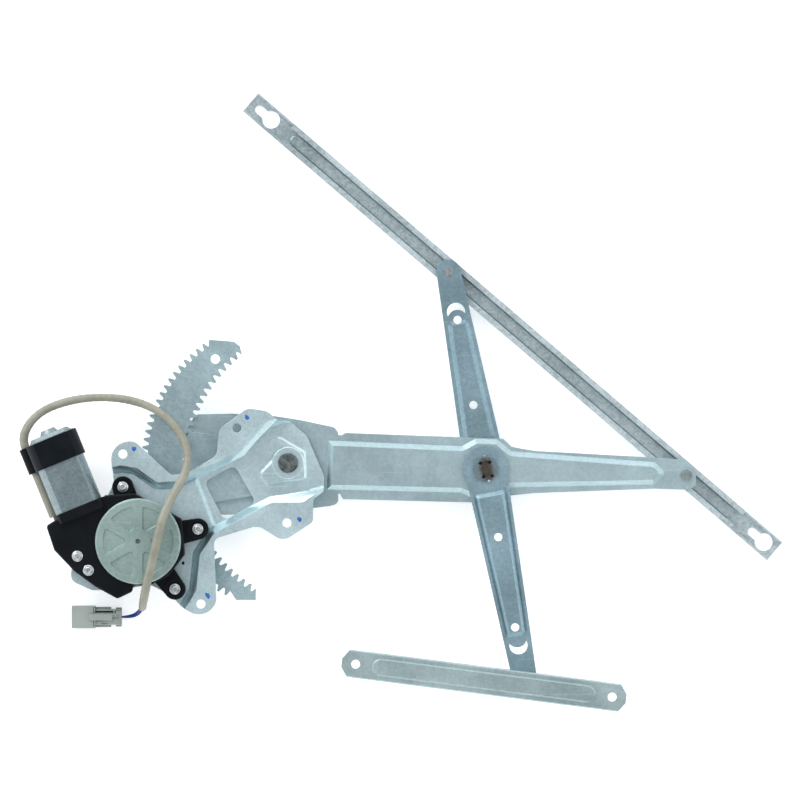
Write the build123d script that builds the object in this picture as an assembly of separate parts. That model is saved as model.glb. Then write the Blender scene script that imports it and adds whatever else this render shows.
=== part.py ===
from build123d import *
import math
import os

# Window regulator of the crossed-arm kind, lying flat, millimetres, +Z towards the side that
# faces the door's inner panel. Everything is drawn about the main pivot, with z = 0 at the
# mounting plane, and moved at the end so that the origin is the datum bolt hole.

# Linkage
ARM_TO_HUB = 134.5          # main pivot to the centre hub
HUB_TO_RAIL = 137.0         # hub to each slider in the glass rail: equal, so the rail stays parallel
HUB_TO_GUIDE = 150.0        # hub to the slider in the guide rail
LIFT_ANGLE = -1.8           # lift arm in the pose that is modelled, degrees
EQUALIZER_ANGLE = 100.6     # equalizer arm, direction of its upper end

# Sheet thicknesses
PLATE_T = 1.6
SECTOR_T = 2.6
LIFT_T = 2.0
EQ_T = 1.8
RAIL_T = 1.4

# Levels, front to back
RECESS = 8.0                # depth of the base plate's middle below its ears
SPACER_T = 0.6              # washer between the base plate and the sector
BEAD = 2.6                  # height of the lift arm's bead
EQ_BEAD = 2.2               # depth of the pressed channel in the equalizer arms
SEAT_H = 2.4                # the gear housing's seat stands above the recess floor
ARM_GAP = 0.45              # between arms that swing past each other
GLASS_DEPTH = 9.5           # depth of the glass rail's channel

PLATE_BACK = -RECESS - PLATE_T
SEAT = -RECESS + SEAT_H
SECTOR_TOP = PLATE_BACK - SPACER_T
SECTOR_BACK = SECTOR_TOP - SECTOR_T
LIFT_TOP = SECTOR_BACK
LIFT_BACK = LIFT_TOP - LIFT_T
LOWER_BACK = LIFT_TOP + BEAD + ARM_GAP
LOWER_TOP = LOWER_BACK + EQ_T
UPPER_TOP = LIFT_BACK - ARM_GAP
UPPER_BACK = UPPER_TOP - EQ_T
GLASS_FRONT = UPPER_BACK - EQ_BEAD - ARM_GAP
GLASS_BACK = GLASS_FRONT - GLASS_DEPTH
GUIDE_BACK = LOWER_TOP + ARM_GAP
GUIDE_FRONT = 2.0           # the guide rail's mounting face stands a little in front of the ears

# Pivots and fits
PIVOT_R = 5.0               # shank of the main pivot rivet
PIVOT_HEAD_R = 6.8
PIVOT_FLANGE_R = 8.6
RUNNING = 0.06              # radial running clearance of a pivot
HUB_R = 6.0                 # shank of the centre hub
HUB_FLANGE_R = 8.5
STUD_R = 3.0                # studs of the sliders
STUD_HEAD_R = 3.9
SLIDER_PLAY = 0.35          # slider to each wall of its rail
BOLT_R = 3.1                # holes for 6 mm bolts

# Gears: module 1.75, sector part of a 112-tooth wheel
MODULE = 1.75
SECTOR_TEETH = 112
PINION_TEETH = 19
PITCH_ANGLE = math.radians(20)
BACKLASH = 0.25
SECTOR_PITCH_R = MODULE * SECTOR_TEETH / 2
PINION_PITCH_R = MODULE * PINION_TEETH / 2
GEAR_CENTRES = SECTOR_PITCH_R + PINION_PITCH_R
PINION_ANGLE = 207.6        # direction of the pinion seen from the main pivot
BLANK_SHIFT = (27.5, -2.5)  # step of the strip the sectors are stamped from
SECTOR_START = 122.5
SECTOR_END = 250.5

# Rails
GLASS_W = 16.2              # outer width of the glass rail
GLASS_LIP = 3.6
GUIDE_W = 19.0
GUIDE_LIP = 3.6
GLASS_L_BACK = 178.0        # upper slider to the rail's upper end
GLASS_L_FRONT = 80.0        # lift arm's slider to the rail's lower end
GLASS_OPEN = 33.0           # length at each end where the lips are cut away
GUIDE_L = 195.0
GUIDE_ANGLE = -7.3
GUIDE_OFFSET = -29.0        # guide rail's middle from its slider, along the rail

# Origin of the row: the datum hole in the base plate's lower ear
DATUM = (-0.7, -40.8)

# Reach of cutting faces that only have to pass beyond the part
BEYOND = 200.0


def polar(radius, degrees, centre=(0, 0)):
    a = math.radians(degrees)
    return (centre[0] + radius * math.cos(a), centre[1] + radius * math.sin(a))


PIVOT = (0.0, 0.0)
HUB = polar(ARM_TO_HUB, LIFT_ANGLE)
LIFT_END = polar(HUB_TO_RAIL, LIFT_ANGLE, HUB)
UPPER_END = polar(HUB_TO_RAIL, EQUALIZER_ANGLE, HUB)
LOWER_END = polar(HUB_TO_GUIDE, EQUALIZER_ANGLE + 180, HUB)
GEAR_AXIS = polar(GEAR_CENTRES, PINION_ANGLE)
GLASS_ANGLE = math.degrees(
    math.atan2(LIFT_END[1] - UPPER_END[1], LIFT_END[0] - UPPER_END[0])
)


def region(points, radius):
    """Closed face through the points, with every corner rounded by one radius or by a list.
    The points are taken anticlockwise, so that the face looks up and presses the right way."""
    turning = sum(a[0] * b[1] - b[0] * a[1] for a, b in zip(points, points[1:] + points[:1]))
    if turning < 0:
        points = points[::-1]
        radius = radius[::-1] if isinstance(radius, list) else radius
    if radius:
        return make_face(FilletPolyline(*points, radius=radius, close=True))
    return make_face(Polyline(*points, close=True))


def slab(face, low, high):
    """Straight prism of a face between two heights."""
    return Pos(0, 0, low) * extrude(face, amount=high - low, dir=(0, 0, 1))


def disc(radius, low, high, at=(0, 0)):
    return Pos(at[0], at[1], low) * Cylinder(
        radius, high - low, align=(Align.CENTER, Align.CENTER, Align.MIN)
    )


def raised(sheet, face, top, height, thick, taper=30):
    """Presses a region of a sheet up by height, keeping the sheet's thickness."""
    die = Pos(0, 0, top) * extrude(face, amount=height, taper=taper)
    punch = Pos(0, 0, -thick) * die
    return (sheet + die) - punch


def sunk(sheet, face, top, depth, thick, taper=28):
    """Presses a region of a sheet down by depth, keeping the sheet's thickness."""
    punch = Pos(0, 0, top) * extrude(face, amount=-depth, taper=taper)
    die = Pos(0, 0, -thick) * punch
    return (sheet + die) - punch


def placed(shape, at, degrees):
    """Moves a shape drawn along +X from the origin to its place in the plan."""
    return Pos(at[0], at[1], 0) * Rot(0, 0, degrees) * shape


# Base plate

EAR_HOLES = [(-112.2, 6.1), (-34.7, 23.8), (-0.7, -40.8), (-59.2, -95.9)]
# Each corner of the plate with its own radius
PLATE_OUTLINE = [
    (-118.5, -14.0, 6), (-121.5, 13.5, 12), (-104.5, 15.0, 8), (-79.0, -8.6, 4),
    (-66.5, -5.6, 6), (-48.5, 5.0, 6), (-46.9, 22.6, 9), (-28.0, 37.4, 9), (-14.0, 35.2, 8),
    (-6.5, 28.6, 6), (0.8, 28.6, 4), (12.6, 18.6, 10), (24.4, -8.8, 5), (24.4, -19.5, 3),
    (17.2, -24.8, 2), (17.2, -40.0, 5), (-3.2, -53.6, 9), (-20.2, -42.6, 10),
    (-50.4, -51.8, 5), (-48.6, -95.0, 8), (-57.5, -107.0, 12), (-73.0, -97.6, 6),
    (-80.0, -90.0, 3), (-93.8, -83.0, 3), (-115.6, -86.4, 3), (-133.3, -86.8, 4),
    (-148.2, -80.2, 6), (-146.9, -67.3, 4), (-127.8, -52.4, 4), (-124.4, -25.2, 4),
]
RECESS_OUTLINE = [
    (-135.0, -7.0), (-114.0, -1.6), (-103.0, -3.2), (-89.0, -13.4), (-74.8, -12.2),
    (-32.0, 8.6), (-27.0, 19.0), (-14.0, 28.4), (-4.0, 31.5), (32.0, 31.5), (32.0, -21.1),
    (18.5, -21.1), (10.2, -26.8), (-10.9, -26.8), (-50.0, -47.4), (-60.0, -62.5),
    (-62.4, -87.0), (-70.0, -99.5), (-90.0, -110.0), (-160.0, -110.0), (-160.0, -30.0),
]
RECESS_CORNER = 3.0
WINDOW_OUTLINE = [(-57.1, -12.9), (-36.7, -1.4), (-21.8, -27.2), (-43.5, -39.4)]
WINDOW_CORNER = 4.5
BOSS_R = 11.0
PAD_H = 1.2                 # pad round the main pivot
BOSS_H = 1.7                # pivot's boss on that pad, above the recess floor
RIB_SLOPE = 52              # lean of the walls of pads and beads
HOUSING_LUGS = [(-112.2, -16.3), (-61.2, -44.9), (-76.8, -85.7)]
LUG_SCREW_R = 2.6
SHAFT_HOLE_R = 20.5
PIVOT_PAD = [
    (-19.0, -6.0), (-3.4, 9.6), (-10.0, 21.0), (12.2, 7.6), (12.6, -11.6), (-14.4, -15.6),
    (-18.8, -11.6),
]
PAD_CORNER = 1.6
SEAT_INSET = 3.0            # from the recess's rim to the seat, which grows out of its wall
SEAT_EDGE = [(-64.0, -4.0), (-47.0, -48.5)]


def seat_face():
    """Floor of the recess on the motor's side of a slanting step."""
    floor = offset(region(RECESS_OUTLINE, RECESS_CORNER), -SEAT_INSET)
    (top_x, top_y), (low_x, low_y) = SEAT_EDGE
    side = region([(top_x, top_y), (low_x, low_y), (low_x, -BEYOND), (-BEYOND, -BEYOND),
                   (-BEYOND, BEYOND), (top_x, BEYOND)], 0)
    return (floor & side).face()


def base_plate():
    outline = region([(x, y) for x, y, _ in PLATE_OUTLINE], [r for _, _, r in PLATE_OUTLINE])
    sheet = slab(offset(outline, 14, kind=Kind.INTERSECTION), -PLATE_T, 0)
    recess = region(RECESS_OUTLINE, RECESS_CORNER)
    sheet = sunk(sheet, recess, 0, RECESS, PLATE_T)
    sheet = raised(sheet, seat_face(), -RECESS, SEAT_H, PLATE_T, 40)
    sheet = raised(sheet, region(PIVOT_PAD, PAD_CORNER), -RECESS, PAD_H, PLATE_T, RIB_SLOPE)
    boss = Circle(BOSS_R).face()
    sheet = raised(sheet, boss, -RECESS + PAD_H, BOSS_H - PAD_H, PLATE_T, RIB_SLOPE)
    plate = sheet & slab(outline, PLATE_BACK - 1, 1)
    window = region(WINDOW_OUTLINE, WINDOW_CORNER)
    plate = plate - slab(window, PLATE_BACK - 1, -RECESS + 1)
    for x, y in EAR_HOLES:
        plate = plate - disc(BOLT_R, -PLATE_T - 1, 1, (x, y))
    for x, y in HOUSING_LUGS:
        plate = plate - disc(LUG_SCREW_R, PLATE_BACK - 1, SEAT + 1, (x, y))
    plate = plate - disc(SHAFT_HOLE_R, PLATE_BACK - 1, SEAT + 1, GEAR_AXIS)
    plate = plate - disc(PIVOT_R, PLATE_BACK - 1, 0)
    return plate


# Main pivot

def main_pivot():
    head_top = -RECESS + BOSS_H + 2.6
    rivet = disc(PIVOT_R, LIFT_BACK - 0.3, head_top - 1)
    rivet = rivet + disc(PIVOT_HEAD_R, -RECESS + BOSS_H, head_top)
    rivet = chamfer(rivet.edges().group_by(Axis.Z)[-1], 0.8)
    tail = disc(PIVOT_FLANGE_R, LIFT_BACK - 0.3 - 1.6, LIFT_BACK - 0.3)
    return rivet + tail


def pivot_washer():
    inner = PIVOT_R + RUNNING
    return disc(PIVOT_FLANGE_R, SECTOR_TOP, PLATE_BACK) - disc(inner, SECTOR_TOP - 1, 0)


# Toothed sector

def tooth_outline(teeth, low, high, first=0):
    """Corners of one involute tooth after another, seen from the gear's centre."""
    pitch_r = MODULE * teeth / 2
    base_r = pitch_r * math.cos(PITCH_ANGLE)
    root, tip = pitch_r - 1.25 * MODULE, pitch_r + MODULE
    half = (math.pi * MODULE / 2 - BACKLASH) / 2 / pitch_r
    spread = math.tan(PITCH_ANGLE) - PITCH_ANGLE

    def half_angle(radius):
        lean = math.acos(min(1, base_r / radius))
        return half + spread - (math.tan(lean) - lean)

    rising = [(root, half_angle(max(root, base_r)))]
    rising += [(r, half_angle(r)) for r in (pitch_r, tip)]
    points = []
    for i in range(low, high):
        mid = math.radians(first + 360 * i / teeth)
        for radius, turn in rising:
            points.append((radius * math.cos(mid - turn), radius * math.sin(mid - turn)))
        for radius, turn in reversed(rising):
            points.append((radius * math.cos(mid + turn), radius * math.sin(mid + turn)))
    return points


def sector_phase():
    """A gap of the sector faces the pinion, so that both are in mesh at rest."""
    step = 360 / SECTOR_TEETH
    return (PINION_ANGLE - step / 2) % step


ROOT_PLATE = [
    (-71.0, -10.0), (-70.0, 22.0), (-63.0, 33.0), (-38.1, 33.6), (-15.0, 32.8), (8.2, 29.2),
    (31.5, 24.2), (34.2, 20.6), (34.2, -28.0), (28.0, -29.6), (-14.0, -34.5), (-44.0, -35.5), (-69.0, -32.0),
]


def toothed_sector():
    step = 360 / SECTOR_TEETH
    low = math.ceil(SECTOR_START / step)
    high = math.floor(SECTOR_END / step)
    edge = tooth_outline(SECTOR_TEETH, low, high, sector_phase())
    tip = SECTOR_PITCH_R + MODULE
    first = polar(tip, low * step - 0.9 * step + sector_phase())
    body = region([first] + edge + [(-35.4, -93.4), (-22.0, -93.4), (-22.0, 40.0),
                                    (-33.0, 79.5), (-37.0, 82.6)], 0)
    full = tooth_outline(SECTOR_TEETH, low - 8, high + 9, sector_phase())
    waste = region(full + [(40.0, -97.0), (40.0, 97.0)], 0)
    waste = Pos(BLANK_SHIFT[0], BLANK_SHIFT[1], 0) * waste
    band = slab(body - waste, SECTOR_BACK, SECTOR_TOP)
    web = region([(-70.0, 22.0), (-20.0, 15.0), (0.0, 14.5), (13.0, 8.0), (14.5, -4.0),
                  (8.0, -14.0), (-20.0, -22.0), (-70.0, -30.0)], 6)
    sector = band + slab(web, SECTOR_BACK, SECTOR_TOP)
    sector = sector - disc(PIVOT_R + RUNNING, SECTOR_BACK - 1, SECTOR_TOP + 1)
    return sector - disc(3.2, SECTOR_BACK - 1, SECTOR_TOP + 1, (-49.6, 70.7))


# Lift arm, drawn along +X from the main pivot

LIFT_LENGTH = ARM_TO_HUB + HUB_TO_RAIL
LIFT_HALF = 23.6            # half width of the arm's long straight part
LIFT_TIP_HALF = 9.8
LIFT_OUTLINE = [
    (36.0, 20.0), (38.0, LIFT_HALF - 2.0), (146.0, LIFT_HALF - 2.6), (152.0, 15.6),
    (168.0, 13.4), (250.0, 11.4), (LIFT_LENGTH - 1.5, 10.6), (LIFT_LENGTH + 6.5, 2.0),
    (LIFT_LENGTH + 6.5, -7.0), (LIFT_LENGTH + 2.0, -LIFT_TIP_HALF),
    (250.0, -LIFT_TIP_HALF), (168.0, -15.4), (152.0, -17.6), (146.0, -LIFT_HALF + 0.6),
    (38.0, -LIFT_HALF), (36.0, -20.0),
]
LIFT_BEAD = [
    (12.0, 16.2), (118.0, 15.0), (127.0, 20.4), (142.0, 20.4), (152.0, 12.6), (250.0, 8.2),
    (258.0, 0.4), (250.0, -7.0), (152.0, -12.0), (142.0, -20.2), (127.0, -20.2),
    (118.0, -16.6), (12.0, -17.4),
]
LIFT_CORNER = 1.6
BEAD_CORNER = 4.0
BEAD_START = 27.0           # where the raised bead begins, from the main pivot
LIFT_FLANGE = 3.4           # depth of the arm's turned edges
# Stretches whose edges are turned back: none where the upper equalizer arm swings behind
LIFT_FLANGES = [(40.0, ARM_TO_HUB - 30, -60, 0), (ARM_TO_HUB + 42, LIFT_LENGTH - 28, -60, 60)]


def lift_arm():
    root = region(ROOT_PLATE, 4.0)
    arm = placed(region(LIFT_OUTLINE, LIFT_CORNER), PIVOT, LIFT_ANGLE)
    join = placed(region([(10.0, 20.0), (60.0, 20.0), (60.0, -20.0), (10.0, -20.0)], 0),
                  PIVOT, LIFT_ANGLE)
    face = (root + arm + join).face()
    sheet = slab(face, LIFT_BACK, LIFT_TOP)
    bead = placed(region(LIFT_BEAD, BEAD_CORNER), PIVOT, LIFT_ANGLE)
    window = [(BEAD_START, -BEYOND), (BEYOND * 2, -BEYOND), (BEYOND * 2, BEYOND),
              (BEAD_START, BEYOND)]
    bead = (bead & placed(region(window, 0), PIVOT, LIFT_ANGLE)).face()
    sheet = raised(sheet, bead, LIFT_TOP, BEAD, LIFT_T, RIB_SLOPE)
    edge = slab(face, LIFT_BACK - LIFT_FLANGE, LIFT_TOP)
    edge = edge - slab(offset(face, -LIFT_T), LIFT_BACK - LIFT_FLANGE - 1, LIFT_TOP + 1)
    arm = sheet
    for start, end, low, high in LIFT_FLANGES:
        reach = placed(region([(start, low), (end, low), (end, high), (start, high)], 0),
                       PIVOT, LIFT_ANGLE)
        arm = arm + (edge & slab(reach, LIFT_BACK - LIFT_FLANGE - 1, LIFT_TOP + 1))
    arm = arm - disc(PIVOT_R + RUNNING, LIFT_BACK - 1, LIFT_TOP + 1)
    arm = arm - disc(HUB_R + RUNNING, LIFT_BACK - 1, LIFT_TOP + BEAD + 1, HUB)
    return arm - disc(STUD_R, LIFT_BACK - 1, LIFT_TOP + 1, LIFT_END)


# Equalizer arm: two pressed halves, each drawn along +X from the hub

EQ_HEAD_R = 15.6
EQ_FLANGE = 1.5
EQ_END_HALF = 8.2
EQ_ROOT_HALF = 14.0
EQ_LANCE_R = 6.2
EQ_HOLE_R = 2.8
UPPER_HOLES = (44.4, 103.4)
LOWER_HOLES = (47.1, 109.6)
LANCE_FROM_END = 28.0
LANCE_OPEN = 5.4            # width of the crescent that the lanced tongue leaves
EQ_MARGIN = 2.4             # flat strip outside the channel


def equalizer_face(length):
    body = region([(6.0, -EQ_ROOT_HALF), (length, -EQ_END_HALF), (length, EQ_END_HALF),
                   (6.0, EQ_ROOT_HALF)], 0)
    tip = Pos(length, 0) * Circle(EQ_END_HALF)
    return (body + Circle(EQ_HEAD_R) + tip).face()


def equalizer_half(length, holes, front):
    """One half in its own frame: the sheet lies between 0 and EQ_T, its bead stands up if
    front is true and down if not."""
    face = equalizer_face(length)
    lance_x = length - LANCE_FROM_END
    slope = (EQ_ROOT_HALF - EQ_END_HALF) / (length - 6.0)
    near, far = EQ_HEAD_R + 0.6, lance_x - EQ_LANCE_R
    near_half = EQ_ROOT_HALF - slope * near - EQ_MARGIN
    far_half = EQ_ROOT_HALF - slope * far - EQ_MARGIN
    bead = region([(near, -near_half), (far, -far_half), (far, far_half), (near, near_half)], 3.0)
    sheet = slab(face, 0, EQ_T)
    rim = slab(face, -EQ_FLANGE, EQ_T + EQ_FLANGE) - slab(
        offset(face, -EQ_T), -EQ_FLANGE - 1, EQ_T + EQ_FLANGE + 1)
    band = [(near - 2, -30), (lance_x - 8, -30), (lance_x - 8, 30), (near - 2, 30)]
    if front:
        sheet = raised(sheet, bead, EQ_T, EQ_BEAD, EQ_T, RIB_SLOPE)
        sheet = sheet + (rim & slab(region(band, 0), 0, EQ_T + EQ_FLANGE))
    else:
        sheet = sunk(sheet, bead, EQ_T, EQ_BEAD, EQ_T, RIB_SLOPE)
        sheet = sheet + (rim & slab(region(band, 0), -EQ_FLANGE, EQ_T))
    lance = disc(EQ_LANCE_R, -5, 8, (lance_x, 0))
    sheet = sheet - (lance - disc(EQ_LANCE_R + 0.6, -6, 9, (lance_x - LANCE_OPEN, 0)))
    for x in holes:
        sheet = sheet - disc(EQ_HOLE_R, -5, 8, (x, 0))
    sheet = sheet - disc(HUB_R, -5, 8)
    return sheet - disc(STUD_R, -5, 8, (length, 0))


def equalizer_upper():
    half = equalizer_half(HUB_TO_RAIL, UPPER_HOLES, False)
    return Pos(0, 0, UPPER_BACK) * placed(half, HUB, EQUALIZER_ANGLE)


def equalizer_lower():
    half = equalizer_half(HUB_TO_GUIDE, LOWER_HOLES, True)
    return Pos(0, 0, LOWER_BACK) * placed(half, HUB, EQUALIZER_ANGLE + 180)


def centre_hub():
    """Pin through the lift arm, with a flange behind the upper half and a staked head."""
    pin = disc(HUB_R, UPPER_BACK - 0.2, LOWER_TOP + 0.2, HUB)
    flange = disc(HUB_FLANGE_R, UPPER_BACK - 1.4, UPPER_BACK, HUB)
    head = disc(HUB_FLANGE_R, LOWER_TOP, LOWER_TOP + 1.4, HUB)
    socket = Pos(HUB[0], HUB[1], LOWER_TOP + 2) * Rot(0, 0, EQUALIZER_ANGLE) * Box(11, 5, 4)
    return pin + flange + head - socket


# Sliders and their studs

STUD_HEAD = 1.5
STAKED_HEAD = ARM_GAP - 0.15   # the upper stud's end passes behind the lift arm
STUD_SHOULDER_R = 3.8
GLASS_BEAD = 0.9
GUIDE_BEAD = 1.0


def stud(at, head_from, head_to, arm_far, slider_near, slider_far):
    """Rivet with its head on one face of the arm and its shank through the slider."""
    head = disc(STUD_HEAD_R, min(head_from, head_to), max(head_from, head_to), at)
    shank = disc(STUD_R, min(head_from, slider_far), max(head_from, slider_far), at)
    shoulder = disc(STUD_SHOULDER_R, min(arm_far, slider_near), max(arm_far, slider_near), at)
    return head + shank + shoulder


SLIDER_R = GLASS_W / 2 - RAIL_T - SLIDER_PLAY
SLIDER_TOP = GLASS_FRONT - RAIL_T - SLIDER_PLAY
SLIDER_BACK = GLASS_BACK + RAIL_T + GLASS_BEAD + SLIDER_PLAY
GUIDE_SLIDER_R = GUIDE_W / 2 - RAIL_T - SLIDER_PLAY
GUIDE_SLIDER_TOP = GUIDE_FRONT - RAIL_T - SLIDER_PLAY
GUIDE_SLIDER_BACK = GUIDE_BACK + RAIL_T + SLIDER_PLAY


def slider(radius, low, high, at):
    body = disc(radius, low, high, at)
    body = chamfer(body.edges().filter_by(GeomType.CIRCLE), 0.6)
    return body - disc(STUD_R + RUNNING, low - 1, high + 1, at)


# Rails, drawn along +X with the channel's mouth up

KEY_R = 6.0
KEY_SLOT_R = 3.0
KEY_REACH = 10.5
KEY_BACK = 18.5             # big hole of the upper keyhole from the rail's end
KEY_FRONT = 9.8
RAIL_BEND_R = 1.2


def channel(length, width, depth, lip, start, end):
    """C channel with its web at the bottom, lips only between start and end."""
    inner = width - 2 * RAIL_T
    web = slab(region([(0, -width / 2), (length, -width / 2), (length, width / 2),
                       (0, width / 2)], 0), 0, depth)
    hollow = slab(region([(-1, -inner / 2), (length + 1, -inner / 2),
                          (length + 1, inner / 2), (-1, inner / 2)], 0), RAIL_T, depth + 1)
    shell = web - hollow
    shell = fillet(shell.edges().filter_by(Axis.X).group_by(Axis.Z)[0], RAIL_BEND_R)
    for side in (-1, 1):
        low, high = sorted((side * (inner / 2 - lip + RAIL_T), side * inner / 2))
        shell = shell + slab(region([(start, low), (end, low), (end, high), (start, high)], 0),
                             depth - RAIL_T, depth)
    return shell


def stadium(start, end, half):
    return region([(start, -half), (end, -half), (end, half), (start, half)], half - 0.05)


def glass_rail():
    length = GLASS_L_BACK + math.dist(UPPER_END, LIFT_END) + GLASS_L_FRONT
    rail = channel(length, GLASS_W, GLASS_DEPTH, GLASS_LIP, GLASS_OPEN, length - GLASS_OPEN)
    bead = stadium(GLASS_OPEN + 4, length - GLASS_OPEN - 4, GLASS_W / 2 - RAIL_T - 2.4)
    rail = raised(rail, bead, RAIL_T, GLASS_BEAD, RAIL_T, 40)
    low_wall = GLASS_DEPTH * 0.62
    for x in (-1, length - GLASS_OPEN + 1.5):
        rail = rail - Pos(x, 0, low_wall) * Box(
            GLASS_OPEN - 0.5, GLASS_W + 2, GLASS_DEPTH, align=(Align.MIN, Align.CENTER, Align.MIN))
    for x in (KEY_BACK, length - KEY_FRONT):
        rail = rail - disc(KEY_R, -1, RAIL_T + 1, (x, 0))
        slot = region([(x - KEY_REACH, -KEY_SLOT_R), (x, -KEY_SLOT_R), (x, KEY_SLOT_R),
                       (x - KEY_REACH, KEY_SLOT_R)], 0)
        rail = rail - slab(slot, -1, RAIL_T + 1) - disc(KEY_SLOT_R, -1, RAIL_T + 1,
                                                        (x - KEY_REACH, 0))
    start = polar(-GLASS_L_BACK, GLASS_ANGLE, UPPER_END)
    return Pos(0, 0, GLASS_BACK) * placed(rail, start, GLASS_ANGLE)


GUIDE_END = 17.0            # length of each flat mounting end
GUIDE_BOLT_R = 3.0
GUIDE_BOLT_FROM_END = 9.6
GUIDE_CORNER = 6.5


def guide_rail():
    depth = GUIDE_FRONT - GUIDE_BACK
    rail = channel(GUIDE_L, GUIDE_W, depth, GUIDE_LIP, GUIDE_END, GUIDE_L - GUIDE_END)
    for x in (0, GUIDE_L - GUIDE_END):
        rail = rail - Pos(x, 0, RAIL_T) * Box(
            GUIDE_END, GUIDE_W + 2, depth, align=(Align.MIN, Align.CENTER, Align.MIN))
    outline = region([(0, -GUIDE_W / 2 + GUIDE_CORNER), (GUIDE_CORNER * 0.7, -GUIDE_W / 2),
                      (GUIDE_L - GUIDE_CORNER * 0.7, -GUIDE_W / 2),
                      (GUIDE_L, -GUIDE_W / 2 + GUIDE_CORNER), (GUIDE_L, GUIDE_W / 2 - GUIDE_CORNER),
                      (GUIDE_L - GUIDE_CORNER * 0.7, GUIDE_W / 2),
                      (GUIDE_CORNER * 0.7, GUIDE_W / 2), (0, GUIDE_W / 2 - GUIDE_CORNER)], 0)
    rail = rail & slab(outline, -GUIDE_BEAD - 1, depth + 1)
    bead = stadium(GUIDE_END + 4, GUIDE_L - GUIDE_END - 4, GUIDE_W / 2 - RAIL_T - 2.2)
    rail = sunk(rail, bead, RAIL_T, GUIDE_BEAD, RAIL_T, 40)
    for x in (GUIDE_BOLT_FROM_END, GUIDE_L - GUIDE_BOLT_FROM_END):
        rail = rail - disc(GUIDE_BOLT_R, -2, RAIL_T + 1, (x, 0))
    rail = Rot(180, 0, 0) * rail
    start = polar(GUIDE_OFFSET - GUIDE_L / 2, GUIDE_ANGLE, LOWER_END)
    return Pos(0, 0, GUIDE_FRONT) * placed(rail, start, GUIDE_ANGLE)


# Gear housing and motor. The worm's axis runs from the housing's lower tip up to the can.

WORM_ANGLE = 112.3          # direction of the motor's axis
MOTOR_Z = 4.0               # level of the worm and of the can's axis
HOUSING_TOP = 11.0
COVER_R = 29.2
COVER_H = 3.2
COVER_POCKET = 1.1
WHEEL_R = 24.6
WHEEL_T = 8.0
SHAFT_R = 5.0
WORM_R = 3.6
WORM_GAP = 0.3
WORM_CENTRES = WHEEL_R + WORM_R + WORM_GAP  # worm axis to output shaft
ARMATURE_SHAFT_R = 2.0
CAN_START = 37.1            # from the foot of the worm's mesh to the can's mouth
CAN_L = 51.0
CAN_R = 16.6
CAN_FLAT = 11.8             # half height between the can's flats
CAN_T = 1.8
HOUSING_OUTLINE = [
    (-164.0, -42.6), (-131.2, -22.4), (-104.0, -20.6), (-72.0, -38.0), (-70.0, -62.0),
    (-80.2, -76.0), (-93.8, -83.2), (-104.6, -82.6), (-106.0, -87.6), (-115.6, -92.2),
    (-130.5, -84.0), (-145.0, -73.4), (-158.5, -59.2),
]
HOUSING_CORNER = 2.6
LUG_R = 7.2
LUG_TOP = 4.0
LUG_RIM = 1.2               # rim round each screw's head
CAVITY_CLEAR = 0.8
NECK_L = 6.5                # raised collar round the can's mouth
HOUSING_SCREWS = [(-142.8, -63.2), (-135.3, -72.8)]
SCREW_R = 2.4
SCREW_HEAD_R = 3.7
SCREW_HEAD_H = 2.2

MESH_FOOT = polar(WORM_CENTRES, WORM_ANGLE + 90, GEAR_AXIS)


def along_motor(shape):
    """Takes a shape drawn along +Z, with +X to the right of the motor, onto the worm's axis."""
    turn = Plane(
        origin=(MESH_FOOT[0], MESH_FOOT[1], MOTOR_Z),
        x_dir=polar(1, WORM_ANGLE - 90) + (0,),
        z_dir=polar(1, WORM_ANGLE) + (0,),
    )
    return turn.location * shape


def can_section(radius, flat):
    return Circle(radius).face() & Rectangle(4 * radius, 2 * flat).face()


def motor_bar(section, low, high):
    return along_motor(Pos(0, 0, low) * extrude(section, amount=high - low))


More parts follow.
